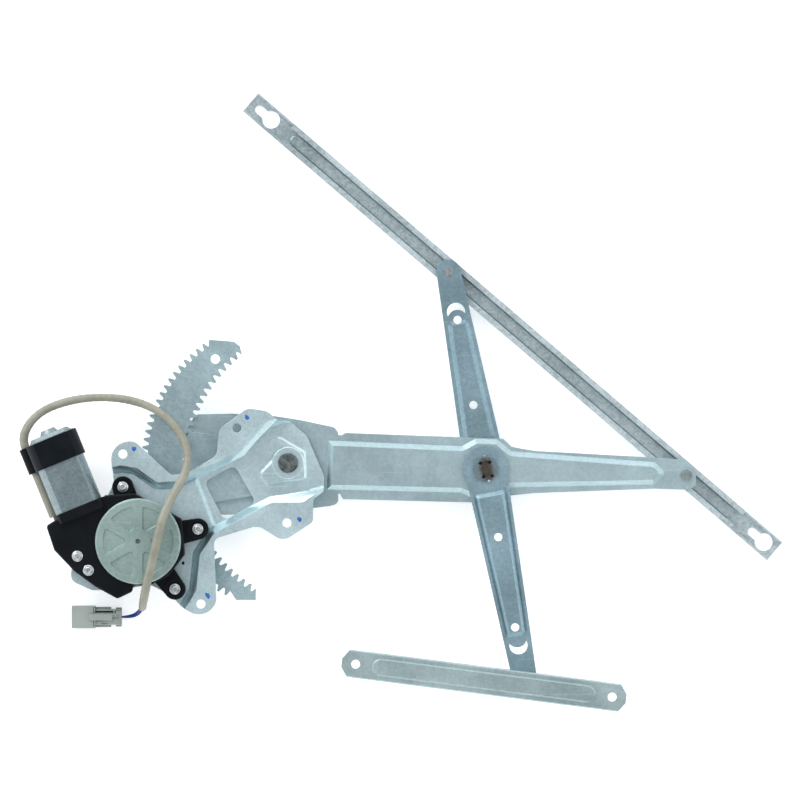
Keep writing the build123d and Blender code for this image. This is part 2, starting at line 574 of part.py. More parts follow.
def gear_housing():
    body = slab(region(HOUSING_OUTLINE, HOUSING_CORNER), SEAT, HOUSING_TOP)
    body = body + disc(COVER_R - 0.4, SEAT, HOUSING_TOP, GEAR_AXIS)
    body = chamfer(body.edges().group_by(Axis.Z)[-1], 0.9)
    for x, y in HOUSING_LUGS:
        side = math.degrees(math.atan2(y - GEAR_AXIS[1], x - GEAR_AXIS[0]))
        reach = math.dist((x, y), GEAR_AXIS)
        arm = placed(region([(8, -LUG_R - 2.0), (reach, -LUG_R), (reach, LUG_R),
                             (8, LUG_R + 2.0)], 0), GEAR_AXIS, side)
        body = body + slab(arm, SEAT, LUG_TOP) + disc(LUG_R, SEAT, LUG_TOP + LUG_RIM, (x, y))
        body = body - disc(LUG_R - 1.8, LUG_TOP, LUG_TOP + LUG_RIM + 1, (x, y))
    neck = motor_bar(can_section(CAN_R + 2.4, CAN_FLAT + 0.6), CAN_START - NECK_L, CAN_START)
    above_seat = slab(Pos(*GEAR_AXIS) * Rectangle(BEYOND, BEYOND).face(), SEAT, BEYOND)
    body = body + (neck & above_seat) - disc(COVER_R + RUNNING, HOUSING_TOP, 40, GEAR_AXIS)
    can_room = Rectangle(2 * CAN_R + 5.2, 4 * CAN_R).face()
    body = body - motor_bar(can_room, CAN_START, CAN_START + CAN_L)
    body = body - disc(WHEEL_R + CAVITY_CLEAR, MOTOR_Z - WHEEL_T / 2 - CAVITY_CLEAR,
                       HOUSING_TOP + 1, GEAR_AXIS)
    body = body - disc(SHAFT_R + RUNNING, SEAT - 1, MOTOR_Z, GEAR_AXIS)
    worm_room = Circle(WORM_R + CAVITY_CLEAR + 1.2).face()
    body = body - motor_bar(worm_room, -19.0, CAN_START - 4.0)
    body = body - motor_bar(Circle(ARMATURE_SHAFT_R + 1.0).face(), -24.0, CAN_START + 1)
    for x, y in HOUSING_LUGS:
        body = body - disc(LUG_SCREW_R, SEAT - 1, LUG_TOP + 1, (x, y))
    for x, y in HOUSING_SCREWS:
        body = body - disc(SCREW_R, HOUSING_TOP - 12, HOUSING_TOP + 1, (x, y))
    return body


def gear_cover():
    top = HOUSING_TOP + COVER_H
    plate = disc(COVER_R, HOUSING_TOP, top, GEAR_AXIS)
    plate = fillet(plate.edges().group_by(Axis.Z)[-1], 1.4)
    inner_r, outer_r, web = 8.5, COVER_R - 5.2, 3.0
    for i in range(6):
        wedge = region([(0, 0), polar(60, -30), polar(60, 30)], 0)
        ring = Circle(outer_r).face() - Circle(inner_r).face()
        pocket = ring & (Pos(web / math.sin(math.radians(30)), 0) * wedge)
        pocket = fillet(pocket.vertices(), 1.6)
        tool = Pos(0, 0, top) * extrude(pocket, amount=-COVER_POCKET, taper=30)
        plate = plate - placed(tool, GEAR_AXIS, 60 * i)
    plate = plate - disc(1.7, HOUSING_TOP - 1, top + 1, GEAR_AXIS)
    return plate - disc(SHAFT_R + 0.8, HOUSING_TOP - 1, HOUSING_TOP + 1.2, GEAR_AXIS)


def motor_can():
    outer = motor_bar(can_section(CAN_R, CAN_FLAT), CAN_START, CAN_START + CAN_L)
    inner = motor_bar(can_section(CAN_R - CAN_T, CAN_FLAT - CAN_T),
                      CAN_START - 1, CAN_START + CAN_L - CAN_T)
    can = outer - inner
    return can - motor_bar(Circle(ARMATURE_SHAFT_R + 2.2).face(), CAN_START + CAN_L - 4,
                           CAN_START + CAN_L + 1)


BELL_H = 2.6
BELL_R = 15.2
BELL_BOSS_H = 3.0           # bearing boss in the bell's middle
BELL_BOSS_R = 6.4


def end_bell():
    base = CAN_START + CAN_L
    bell = Pos(0, 0, base) * extrude(can_section(BELL_R, CAN_FLAT - 1.2), amount=BELL_H, taper=40)
    boss = Pos(0, 0, base + BELL_H) * extrude(
        Circle(BELL_BOSS_R).face(), amount=BELL_BOSS_H, taper=30)
    bell = bell + boss
    bell = bell - Pos(0, 0, base - 1) * Cylinder(
        ARMATURE_SHAFT_R + 2.0, 5.0, align=(Align.CENTER, Align.CENTER, Align.MIN))
    return along_motor(bell)


CAP_L = 18.0
CAP_INSET = 0.5
CAP_START = CAN_L - CAP_L - CAP_INSET  # from the can's mouth
CAP_T = 1.6
LEAD_SIDE = 18.8            # harness beside the can, to its left
LEAD_DEPTH = -9.0           # and below its axis
CORD_R = 2.9
LOBE_R = 4.6


def rubber_cap():
    low = CAN_START + CAP_START
    ring = can_section(CAN_R + CAP_T, CAN_FLAT + CAP_T)
    lobe = Pos(-LEAD_SIDE, -LEAD_DEPTH) * Circle(LOBE_R).face()
    section = (ring + lobe) - can_section(CAN_R, CAN_FLAT)
    return motor_bar(section.face(), low, low + CAP_L)


# Parts that turn with the output shaft, and the armature

def output_shaft():
    shaft = disc(SHAFT_R, SECTOR_BACK - 2.0, MOTOR_Z + WHEEL_T / 2 + 1.5, GEAR_AXIS)
    return chamfer(shaft.edges().group_by(Axis.Z)[0], 0.6)


def output_pinion():
    face = placed(region(tooth_outline(PINION_TEETH, 0, PINION_TEETH, PINION_ANGLE - 180), 0),
                  GEAR_AXIS, 0)
    gear = slab(face, SECTOR_BACK - 0.8, PLATE_BACK + 1.0)
    return gear - disc(SHAFT_R, -40, 40, GEAR_AXIS)


WHEEL_TEETH = 48
WHEEL_TOOTH = 1.1


def worm_wheel():
    low, high = MOTOR_Z - WHEEL_T / 2, MOTOR_Z + WHEEL_T / 2
    wheel = disc(WHEEL_R - WHEEL_TOOTH, low, high, GEAR_AXIS)
    wheel = wheel - (disc(WHEEL_R - 4.0, high - 2.4, high + 1, GEAR_AXIS)
                     - disc(SHAFT_R + 4.0, high - 3, high + 2, GEAR_AXIS))
    step = 2 * math.pi / WHEEL_TEETH
    points = []
    for i in range(WHEEL_TEETH):
        for share, radius in ((0.0, WHEEL_R - WHEEL_TOOTH - 0.2), (0.5, WHEEL_R - 0.6)):
            a = (i + share) * step
            points.append((radius * math.cos(a), radius * math.sin(a)))
    ring = placed(region(points, 0), GEAR_AXIS, 0)
    teeth = slab(ring, low, high) - disc(WHEEL_R - 3.5, low - 1, high + 1, GEAR_AXIS)
    return (wheel + teeth) - disc(SHAFT_R, -40, 40, GEAR_AXIS)


WORM_L = 26.0
COMMUTATOR_L = 8.0
CORE_GAP = 0.5              # core to the can's flats
CORE_R = CAN_FLAT - CAN_T - CORE_GAP
CORE_L = CAN_L - 21.0
CORE_SLOTS = 8


def armature_shaft():
    return motor_bar(Circle(ARMATURE_SHAFT_R).face(), -22.0, CAN_START + CAN_L + 2.0)


def worm():
    body = motor_bar(Circle(WORM_R).face(), -WORM_L / 2, WORM_L / 2)
    return body - motor_bar(Circle(ARMATURE_SHAFT_R).face(), -40, 40)


def armature_core():
    section = Circle(CORE_R).face()
    for i in range(CORE_SLOTS):
        slot = Rot(0, 0, 360 * i / CORE_SLOTS) * (Pos(CORE_R, 0) * Rectangle(9.0, 1.6).face())
        section = section - slot
    section = section - Circle(ARMATURE_SHAFT_R).face()
    return motor_bar(section.face(), CAN_START + 6, CAN_START + 6 + CORE_L)


def commutator():
    ring = Circle(4.6).face() - Circle(ARMATURE_SHAFT_R).face()
    end = CAN_START + CAN_L - CAN_T - 2.6
    return motor_bar(ring, end - COMMUTATOR_L, end)


MAGNET_GAP = 0.6


def magnets():
    ring = can_section(CAN_R - CAN_T, CAN_FLAT - CAN_T) - Circle(CORE_R + MAGNET_GAP - 0.2).face()
    ring = ring & (Pos(CAN_R, 0) * Rectangle(2 * CAN_R - 9, 60).face()
                   + Pos(-CAN_R, 0) * Rectangle(2 * CAN_R - 9, 60).face())
    return motor_bar(ring, CAN_START + 4, CAN_START + 8 + CORE_L)


def shaft_bushes():
    ring = Circle(ARMATURE_SHAFT_R + 2.0).face() - Circle(ARMATURE_SHAFT_R + RUNNING).face()
    rear = motor_bar(ring, CAN_START + CAN_L - 2.0, CAN_START + CAN_L + 3.0)
    front_ring = Circle(ARMATURE_SHAFT_R + 1.0).face() - Circle(
        ARMATURE_SHAFT_R + RUNNING).face()
    return [rear, motor_bar(front_ring, -23.0, -19.4)]


# Screws

def screw(at, top, reach, radius):
    head = disc(SCREW_HEAD_R, top, top + SCREW_HEAD_H, at)
    head = fillet(head.edges().group_by(Axis.Z)[-1], 0.9)
    socket = Pos(at[0], at[1], top + SCREW_HEAD_H - 1.2) * extrude(
        RegularPolygon(1.7, 6), amount=3)
    return head + disc(radius, top - reach, top, at) - socket


def lug_screws():
    reach = LUG_TOP - SEAT + PLATE_T
    return [screw(at, LUG_TOP, reach, LUG_SCREW_R) for at in HOUSING_LUGS]


def housing_screws():
    return [screw(at, HOUSING_TOP, 12.0, SCREW_R) for at in HOUSING_SCREWS]


# Harness

def motor_point(along, left, up):
    """Point beside the motor's axis, in the plan and height of the whole part."""
    a = math.radians(WORM_ANGLE)
    x = MESH_FOOT[0] + along * math.cos(a) - left * math.sin(a)
    y = MESH_FOOT[1] + along * math.sin(a) + left * math.cos(a)
    return (x, y, MOTOR_Z + up)


CORD_EXIT = motor_point(CAN_START + CAP_START + CAP_L, LEAD_SIDE, LEAD_DEPTH)
CORD_LEAVES = motor_point(CAN_START + CAP_START + CAP_L + 6.0, LEAD_SIDE, LEAD_DEPTH)
SLEEVE_ROUTE = [
    CORD_EXIT, CORD_LEAVES, (-177.0, 26.5, -7.5), (-166.8, 36.2, -11.0), (-148.0, 43.0, -13.0),
    (-127.0, 45.0, -13.0), (-107.0, 43.0, -9.5), (-90.0, 36.8, -4.6), (-76.5, 25.5, -1.0),
    (-68.0, 10.5, 4.0), (-68.5, -5.5, 9.5), (-77.0, -20.5, 15.5), (-84.3, -35.0, 20.6),
    (-88.4, -52.0, 22.0), (-92.0, -68.0, 21.6), (-95.0, -80.0, 20.5), (-97.3, -90.0, 12.5),
    (-98.6, -96.0, 0.5), (-99.2, -98.3, -11.0),
]
WIRE_R = 1.5
WIRE_ROUTE = [
    (-99.2, -98.3, -11.0), (-99.46, -99.28, -15.9), (-105.2, -105.2, -20.8),
    (-113.6, -105.2, -20.8),
]


def corner_radii(route):
    """Each arc takes 0.45 of the shorter run beside it."""
    radii = []
    for before, here, after in zip(route, route[1:], route[2:]):
        one, two = Vector(*here) - Vector(*before), Vector(*after) - Vector(*here)
        turn = math.radians(one.get_angle(two))
        radii.append(0.45 * min(one.length, two.length) / math.tan(turn / 2))
    return radii


def tube(route, radius, name):
    radii = corner_radii(route)
    path = FilletPolyline(*route, radius=radii)
    start = Plane(origin=path @ 0, z_dir=path % 0)
    solid = sweep(start * Circle(radius), path=path)
    share = solid.volume / (math.pi * radius ** 2 * path.length)
    print(name, "radii", [round(r, 1) for r in radii], "length", round(path.length, 1),
          "volume share", round(share, 4))
    return solid


def harness_lead():
    ring = Pos(-LEAD_SIDE, -LEAD_DEPTH) * Circle(CORD_R).face()
    return motor_bar(ring, CAN_START, CAN_START + CAP_START)


CONNECTOR_L = 34.0
CONNECTOR_W = 15.4          # round the mouth
CONNECTOR_H = 13.0
MOUTH_L = 16.0              # length of the wide part
MOUTH_WALL = 1.6
MOUTH_DEPTH = 14.0
CONNECTOR_NECK_W = 10.8
CONNECTOR_NECK_H = 11.0
CONNECTOR_ANGLE = 180.0
PIN = (9.5, 1.6, 0.8)
PIN_PITCH = 5.2
LOCK_W = 4.6
LOCK_H = 1.6


def block(start, length, width, height, y=0.0, z=0.0):
    """Box along +X from start, centred across."""
    return Pos(start, y, z) * Box(length, width, height,
                                  align=(Align.MIN, Align.CENTER, Align.CENTER))


def connector():
    """Shell with an open mouth at its far end, a slim neck, side rails and a lock tab."""
    neck_l = CONNECTOR_L - MOUTH_L
    body = block(neck_l, MOUTH_L, CONNECTOR_W, CONNECTOR_H)
    body = fillet(body.edges().filter_by(Axis.X), 1.6)
    neck = block(0, neck_l + 1, CONNECTOR_NECK_W, CONNECTOR_NECK_H)
    neck = fillet(neck.edges().filter_by(Axis.X), 1.0)
    body = body + neck
    for side in (-1, 1):
        rail_y = side * (CONNECTOR_NECK_W / 2 + 0.5)
        body = body + block(neck_l * 0.4, neck_l * 0.6, 2.0, 3.0, rail_y)
    body = body + block(0, 4.0, CONNECTOR_NECK_W + 2.2, CONNECTOR_NECK_H * 0.6)
    lock_z = CONNECTOR_H / 2 - 0.4 + LOCK_H / 2
    body = body + block(neck_l * 0.35, MOUTH_L, LOCK_W, LOCK_H, 0, lock_z)
    body = body + block(neck_l * 0.35, 3.0, LOCK_W, CONNECTOR_H / 2, 0, CONNECTOR_H / 4)
    mouth = block(CONNECTOR_L - MOUTH_DEPTH, MOUTH_DEPTH + 1, CONNECTOR_W - 2 * MOUTH_WALL,
                  CONNECTOR_H - 2 * MOUTH_WALL)
    body = body - mouth
    length, width, height = PIN
    for y in (-PIN_PITCH / 2, PIN_PITCH / 2):
        body = body + block(CONNECTOR_L - MOUTH_DEPTH - 0.5, length, width, height, y)
    end = WIRE_ROUTE[-1]
    return Pos(end[0], end[1], end[2]) * Rot(0, 0, CONNECTOR_ANGLE) * body


def row_part(shape):
    """Moves a piece, or a list of loose pieces, to the row's origin."""
    solids = []
    for piece in shape if isinstance(shape, list) else [shape]:
        solids += piece.solids()
    moved = [Pos(-DATUM[0], -DATUM[1], 0) * solid for solid in solids]
    return moved[0] if len(moved) == 1 else Compound(children=moved)


NODES = {
    "base_plate": base_plate(),
    "main_pivot": main_pivot(),
    "pivot_washer": pivot_washer(),
    "toothed_sector": toothed_sector(),
    "lift_arm": lift_arm(),
    "lift_arm_stud": stud(LIFT_END, LIFT_TOP, LIFT_TOP + STUD_HEAD, LIFT_BACK,
                          SLIDER_TOP, SLIDER_BACK),
    "lift_arm_slider": slider(SLIDER_R, SLIDER_BACK, SLIDER_TOP, LIFT_END),
    "equalizer_upper_arm": equalizer_upper(),
    "equalizer_lower_arm": equalizer_lower(),
    "centre_hub": centre_hub(),
    "upper_stud": stud(UPPER_END, UPPER_TOP, UPPER_TOP + STAKED_HEAD, UPPER_BACK,
                       SLIDER_TOP, SLIDER_BACK),
    "upper_slider": slider(SLIDER_R, SLIDER_BACK, SLIDER_TOP, UPPER_END),
    "lower_stud": stud(LOWER_END, LOWER_BACK, LOWER_BACK - STUD_HEAD, LOWER_TOP,
                       GUIDE_SLIDER_BACK, GUIDE_SLIDER_TOP),
    "lower_slider": slider(GUIDE_SLIDER_R, GUIDE_SLIDER_BACK, GUIDE_SLIDER_TOP, LOWER_END),
    "glass_rail": glass_rail(),
    "guide_rail": guide_rail(),
    "gear_housing": gear_housing(),
    "gear_cover": gear_cover(),
    "lug_screws": lug_screws(),
    "housing_screws": housing_screws(),
    "motor_can": motor_can(),
    "end_bell": end_bell(),
    "rubber_cap": rubber_cap(),
    "magnets": magnets(),
    "shaft_bushes": shaft_bushes(),
    "output_shaft": output_shaft(),
    "output_pinion": output_pinion(),
    "worm_wheel": worm_wheel(),
    "armature_shaft": armature_shaft(),
    "worm": worm(),
    "armature_core": armature_core(),
    "commutator": commutator(),
    "harness_lead": harness_lead(),
    "harness_sleeve": tube(SLEEVE_ROUTE, CORD_R, "sleeve"),
    "harness_wires": tube(WIRE_ROUTE, WIRE_R, "wires"),
    "connector": connector(),
}

os.makedirs("parts", exist_ok=True)
for name, shape in NODES.items():
    export_step(row_part(shape), f"parts/{name}.step")
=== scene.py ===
import bpy
import math
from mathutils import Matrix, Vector


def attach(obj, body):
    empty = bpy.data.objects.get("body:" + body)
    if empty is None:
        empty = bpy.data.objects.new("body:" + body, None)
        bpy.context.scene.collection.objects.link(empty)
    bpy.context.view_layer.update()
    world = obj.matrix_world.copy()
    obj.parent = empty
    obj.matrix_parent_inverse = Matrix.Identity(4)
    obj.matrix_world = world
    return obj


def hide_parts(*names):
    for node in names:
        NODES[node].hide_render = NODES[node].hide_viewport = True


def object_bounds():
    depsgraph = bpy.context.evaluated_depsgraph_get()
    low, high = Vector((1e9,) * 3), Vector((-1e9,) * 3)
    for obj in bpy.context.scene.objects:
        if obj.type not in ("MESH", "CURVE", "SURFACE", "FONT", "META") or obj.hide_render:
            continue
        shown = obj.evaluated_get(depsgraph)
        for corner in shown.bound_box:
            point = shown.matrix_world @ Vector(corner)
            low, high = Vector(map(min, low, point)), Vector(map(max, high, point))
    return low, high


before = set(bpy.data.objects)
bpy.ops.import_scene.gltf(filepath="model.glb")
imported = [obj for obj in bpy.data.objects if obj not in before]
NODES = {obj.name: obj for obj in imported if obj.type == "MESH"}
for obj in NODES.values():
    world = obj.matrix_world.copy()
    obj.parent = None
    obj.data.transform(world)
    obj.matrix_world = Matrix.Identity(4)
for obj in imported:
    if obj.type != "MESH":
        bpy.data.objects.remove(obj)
CAD_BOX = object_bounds()
MM = 0.001

# The photograph's plane: its middle over the part, and the width that it spans there
VIEW_CENTRE = (0.0769, 0.0836)
VIEW_SPAN = 0.544
VIEW_HEIGHT = 6.0
SENSOR = 36.0

# The part's own drawing has the main pivot at its origin, this far from the frame's, in mm
PIVOT_X, PIVOT_Y = 0.7, 40.8


def from_pivot(x, y, z):
    """Place in the frame of a point drawn about the main pivot, in mm."""
    return ((x + PIVOT_X) * MM, (y + PIVOT_Y) * MM, z * MM)


# Turns of pieces in the plane, in degrees
RAIL_ANGLE = -40.6
EQUALIZER_LEAN = 10.6
MOTOR_LEAN = 22.3

# Harness, along the same points as the solids' routes
SLEEVE_ROUTE = [from_pivot(*point) for point in (
    (-178.584, 9.995, -5.0), (-180.861, 15.546, -5.0), (-177.0, 26.5, -7.5),
    (-166.8, 36.2, -11.0), (-148.0, 43.0, -13.0), (-127.0, 45.0, -13.0), (-107.0, 43.0, -9.5),
    (-90.0, 36.8, -4.6), (-76.5, 25.5, -1.0), (-68.0, 10.5, 4.0), (-68.5, -5.5, 9.5),
    (-77.0, -20.5, 15.5), (-84.3, -35.0, 20.6), (-88.4, -52.0, 22.0), (-92.0, -68.0, 21.6),
    (-95.0, -80.0, 20.5), (-97.3, -90.0, 12.5), (-98.6, -96.0, 0.5), (-99.2, -98.3, -11.0),
)]
SLEEVE_R = 0.0029
# How far the sleeve is pressed flat, creased and swollen, as shares of its radius
SLEEVE_MEAN = 0.97
SLEEVE_FLAT = 0.05
SLEEVE_CREASE = 0.018
SLEEVE_SWELL = 0.03
CREASE_PITCH = 0.0043
SWELL_PITCH = 0.041
WIRE_ROUTE = [from_pivot(*point) for point in (
    (-99.2, -98.3, -11.0), (-99.46, -99.28, -15.9), (-105.2, -105.2, -20.8),
    (-113.6, -105.2, -20.8),
)]
WIRE_PAIR_R = 0.0015
WIRE_LAY = 3.4              # turn of the pair along its length, in radians


# Studio
FLOOR_HALF = 2.5
FLOOR_GLOW = 0.42
# Heights between which the sky falls from bright to dim, and how it leans in X and Y
SKY_HEIGHTS = (0.30, 0.96)
SKY_LEVELS = (1.45, 0.52)
SKY_LEAN = (-0.22, 0.30)
SKY_COLOUR = (0.96, 0.98, 1.0, 1.0)


# Camera

def add_camera():
    data = bpy.data.cameras.new("camera")
    camera = bpy.data.objects.new("camera", data)
    bpy.context.scene.collection.objects.link(camera)
    data.sensor_width = SENSOR
    data.lens = SENSOR * VIEW_HEIGHT / VIEW_SPAN
    data.clip_end = 50.0
    camera.location = (VIEW_CENTRE[0], VIEW_CENTRE[1], VIEW_HEIGHT)
    bpy.context.scene.camera = camera


# Meshes

def add_mesh(name, verts, faces, smooth=True):
    mesh = bpy.data.meshes.new(name)
    mesh.from_pydata([tuple(v) for v in verts], [], faces)
    mesh.update()
    for polygon in mesh.polygons:
        polygon.use_smooth = smooth
    piece = bpy.data.objects.new(name, mesh)
    bpy.context.scene.collection.objects.link(piece)
    return piece


def route_points(route, steps=14):
    """Points of the smooth line that has the route as its control points."""
    data = bpy.data.curves.new("route", "CURVE")
    data.dimensions = "3D"
    data.resolution_u = steps
    spline = data.splines.new("NURBS")
    spline.points.add(len(route) - 1)
    for point, place in zip(spline.points, route):
        point.co = (*place, 1.0)
    spline.order_u = 3
    spline.use_endpoint_u = True
    curve = bpy.data.objects.new("route", data)
    bpy.context.scene.collection.objects.link(curve)
    mesh = bpy.data.meshes.new_from_object(curve)
    points = [v.co.copy() for v in mesh.vertices]
    bpy.data.objects.remove(curve)
    bpy.data.meshes.remove(mesh)
    return points


def path_frames(points):
    """Direction and two cross directions at each point, without twist."""
    ahead = [(b - a).normalized() for a, b in zip(points, points[1:])]
    ahead.append(ahead[-1])
    along = [ahead[0]] + [(a + b).normalized() for a, b in zip(ahead, ahead[1:])]
    side = along[0].orthogonal().normalized()
    frames = []
    for direction in along:
        side = (side - side.dot(direction) * direction).normalized()
        frames.append((direction, side, direction.cross(side)))
    return frames


def ring_faces(rings, sides):
    """Faces of a closed skin over rings of points, with both ends covered."""
    faces = []
    for i in range(rings - 1):
        for k in range(sides):
            after = (k + 1) % sides
            faces.append((i * sides + k, i * sides + after,
                          (i + 1) * sides + after, (i + 1) * sides + k))
    faces.append(tuple(reversed(range(sides))))
    faces.append(tuple(range((rings - 1) * sides, rings * sides)))
    return faces


def add_tube(name, points, radius_at, sides=20):
    """Closed tube along the points. radius_at gives the radius at a distance and an angle."""
    verts = []
    travelled = 0.0
    for i, (point, (_, side, up)) in enumerate(zip(points, path_frames(points))):
        if i:
            travelled += (point - points[i - 1]).length
        for k in range(sides):
            angle = 2 * math.pi * k / sides
            reach = radius_at(travelled, angle)
            verts.append(point + reach * (math.cos(angle) * side + math.sin(angle) * up))
    return add_mesh(name, verts, ring_faces(len(points), sides))


# Node helpers for materials

def new_material(name):
    material = bpy.data.materials.new(name)
    material.use_nodes = True
    tree = material.node_tree
    return material, tree, tree.nodes["Principled BSDF"]


def node(tree, kind, inputs=None, **settings):
    made = tree.nodes.new(kind)
    for key, value in settings.items():
        setattr(made, key, value)
    for key, value in (inputs or {}).items():
        if isinstance(value, bpy.types.NodeSocket):
            tree.links.new(value, made.inputs[key])
        else:
            made.inputs[key].default_value = value
    return made


def place_of(tree, scale=(1, 1, 1), turn=0.0):
    """Coordinates of the surface in the piece's own frame, in metres."""
    coords = node(tree, "ShaderNodeTexCoord").outputs["Object"]
    return node(tree, "ShaderNodeMapping",
                {"Vector": coords, "Scale": scale, "Rotation": (0, 0, turn)}).outputs["Vector"]


def noise(tree, place, scale, detail=4.0, rough=0.55):
    return node(tree, "ShaderNodeTexNoise", {
        "Vector": place, "Scale": scale, "Detail": detail, "Roughness": rough}).outputs["Fac"]


def ramp(tree, value, low, high, to_low=0.0, to_high=1.0):
    return node(tree, "ShaderNodeMapRange", {
        "Value": value, "From Min": low, "From Max": high, "To Min": to_low,
        "To Max": to_high}).outputs["Result"]


def mix(tree, share, first, second):
    made = node(tree, "ShaderNodeMix", data_type="RGBA")
    for socket, value in ((made.inputs[0], share), (made.inputs[6], first),
                          (made.inputs[7], second)):
        if isinstance(value, bpy.types.NodeSocket):
            tree.links.new(value, socket)
        else:
            socket.default_value = (*value, 1.0) if isinstance(value, tuple) else value
    return made.outputs[2]


def times(tree, first, second):
    return node(tree, "ShaderNodeMath", {0: first, 1: second}, operation="MULTIPLY").outputs[0]


def plus(tree, first, second):
    return node(tree, "ShaderNodeMath", {0: first, 1: second}, operation="ADD").outputs[0]


def set_finish(tree, shader, colour, roughness, height=None, bump=0.2, distance=0.0002,
               soften=0.0):
    """Links colour, roughness and bump. soften rounds the look of sharp edges."""
    tree.links.new(colour, shader.inputs["Base Color"])
    tree.links.new(roughness, shader.inputs["Roughness"])
    if height is None:
        return
    normal = node(tree, "ShaderNodeBump", {
        "Height": height, "Strength": bump, "Distance": distance})
    if soften:
        edge = node(tree, "ShaderNodeBevel", {"Radius": soften}, samples=4)
        tree.links.new(edge.outputs["Normal"], normal.inputs["Normal"])
    tree.links.new(normal.outputs["Normal"], shader.inputs["Normal"])


# Metals

def plated(name, dark, pale, roughness=0.36, metallic=0.8, turn=0.0, spangle=1.0, stain=0.25,
           soften=0.0005):
    """Zinc-plated pressed steel: cloudy plating, fine crystals, rolling grain and faint scuffs."""
    material, tree, shader = new_material(name)
    place = place_of(tree)
    clouds = noise(tree, place, 22.0, 5.0, 0.6)
    crystals = node(tree, "ShaderNodeTexVoronoi", {"Vector": place, "Scale": 620.0})
    grey = node(tree, "ShaderNodeSeparateColor", {"Color": crystals.outputs["Color"]})
    speck = grey.outputs["Red"]
    fine = noise(tree, place, 900.0, 3.0, 0.7)
    grain = noise(tree, place_of(tree, (60.0, 2200.0, 1200.0), turn), 1.0, 3.0, 0.6)
    tone = times(tree, ramp(tree, clouds, 0.36, 0.66), 0.50)
    tone = plus(tree, tone, times(tree, speck, 0.36 * spangle))
    tone = plus(tree, tone, times(tree, ramp(tree, fine, 0.3, 0.7), 0.24))
    colour = mix(tree, tone, dark, pale)
    marks = ramp(tree, noise(tree, place, 95.0, 6.0, 0.75), 0.62, 0.74)
    colour = mix(tree, times(tree, marks, stain), colour, tuple(0.62 * c for c in dark))
    scuffs = ramp(tree, noise(tree, place_of(tree, (18.0, 520.0, 200.0), turn + 0.5), 1.0,
                              2.0, 0.5), 0.66, 0.72)
    colour = mix(tree, times(tree, scuffs, 0.30), colour, tuple(min(1, 1.25 * c) for c in pale))
    rough = plus(tree, ramp(tree, clouds, 0.3, 0.7, roughness - 0.07, roughness + 0.09),
                 plus(tree, times(tree, fine, 0.10), times(tree, marks, 0.12)))
    height = plus(tree, times(tree, fine, 0.7), times(tree, grain, 0.5))
    height = plus(tree, height, times(tree, speck, 0.35))
    shader.inputs["Metallic"].default_value = metallic
    set_finish(tree, shader, colour, rough, height, 0.26, 0.00014, soften)
    return material


def dark_steel(name, dark, pale, roughness=0.42, metallic=0.85):
    """Steel of rivets and shafts: oiled and mottled."""
    material, tree, shader = new_material(name)
    place = place_of(tree)
    patches = noise(tree, place, 260.0, 6.0, 0.7)
    fine = noise(tree, place, 1400.0, 3.0, 0.7)
    colour = mix(tree, ramp(tree, patches, 0.38, 0.62), dark, pale)
    rough = ramp(tree, patches, 0.3, 0.7, roughness + 0.12, roughness - 0.1)
    shader.inputs["Metallic"].default_value = metallic
    set_finish(tree, shader, colour, rough, plus(tree, fine, patches), 0.25, 0.0002,
               0.0004)
    return material


def spot(tree, centre, half_x, half_y, turn=0.0, soft=0.25):
    """1 inside an ellipse round a point drawn about the main pivot, 0 outside it."""
    x, y, z = from_pivot(*centre, 0.0)
    coords = node(tree, "ShaderNodeTexCoord").outputs["Object"]
    local = node(tree, "ShaderNodeMapping", {
        "Vector": coords, "Location": (x, y, z), "Rotation": (0, 0, turn),
        "Scale": (half_x * MM, half_y * MM, 1.0)}, vector_type="TEXTURE").outputs["Vector"]
    reach = node(tree, "ShaderNodeVectorMath", {0: local}, operation="LENGTH").outputs["Value"]
    rough = times(tree, noise(tree, coords, 420.0, 4.0, 0.7), 0.6)
    return ramp(tree, plus(tree, reach, rough), 1.3 - soft, 1.3 + soft, 1.0, 0.0)


def hub_steel():
    """Grey flange with a brown, scorched oval where the pin is staked."""
    material, tree, shader = new_material("hub_steel")
    place = place_of(tree)
    patches = noise(tree, place, 420.0, 5.0, 0.7)
    fine = noise(tree, place, 1400.0, 3.0, 0.7)
    grey = mix(tree, patches, (0.09, 0.13, 0.15), (0.28, 0.36, 0.39))
    brown = mix(tree, patches, (0.030, 0.026, 0.022), (0.16, 0.145, 0.125))
    burnt = spot(tree, HUB_AT, 4.6, 8.4, math.radians(EQUALIZER_LEAN))
    shader.inputs["Metallic"].default_value = 0.7
    set_finish(tree, shader, mix(tree, burnt, grey, brown), ramp(tree, patches, 0.3, 0.7, 0.5, 0.36),
               plus(tree, fine, patches), 0.3, 0.0002, 0.0006)
    return material


# Plastics and rubber

def moulded(name, colour, fleck, roughness=0.42, grain=1500.0, bump=0.12, specular=0.5):
    material, tree, shader = new_material(name)
    place = place_of(tree)
    fine = noise(tree, place, grain, 3.0, 0.6)
    clouds = noise(tree, place, 60.0, 4.0, 0.6)
    dust = ramp(tree, noise(tree, place, 700.0, 2.0, 0.8), 0.68, 0.76)
    tint = mix(tree, ramp(tree, clouds, 0.35, 0.65, 0.0, 0.6), colour, fleck)
    tint = mix(tree, times(tree, dust, 0.25), tint, tuple(min(1, c * 2.2 + 0.02) for c in fleck))
    rough = ramp(tree, clouds, 0.3, 0.7, roughness - 0.06, roughness + 0.1)
    shader.inputs["Specular IOR Level"].default_value = specular
    set_finish(tree, shader, tint, rough, fine, bump, 0.0002, 0.0004)
    return material


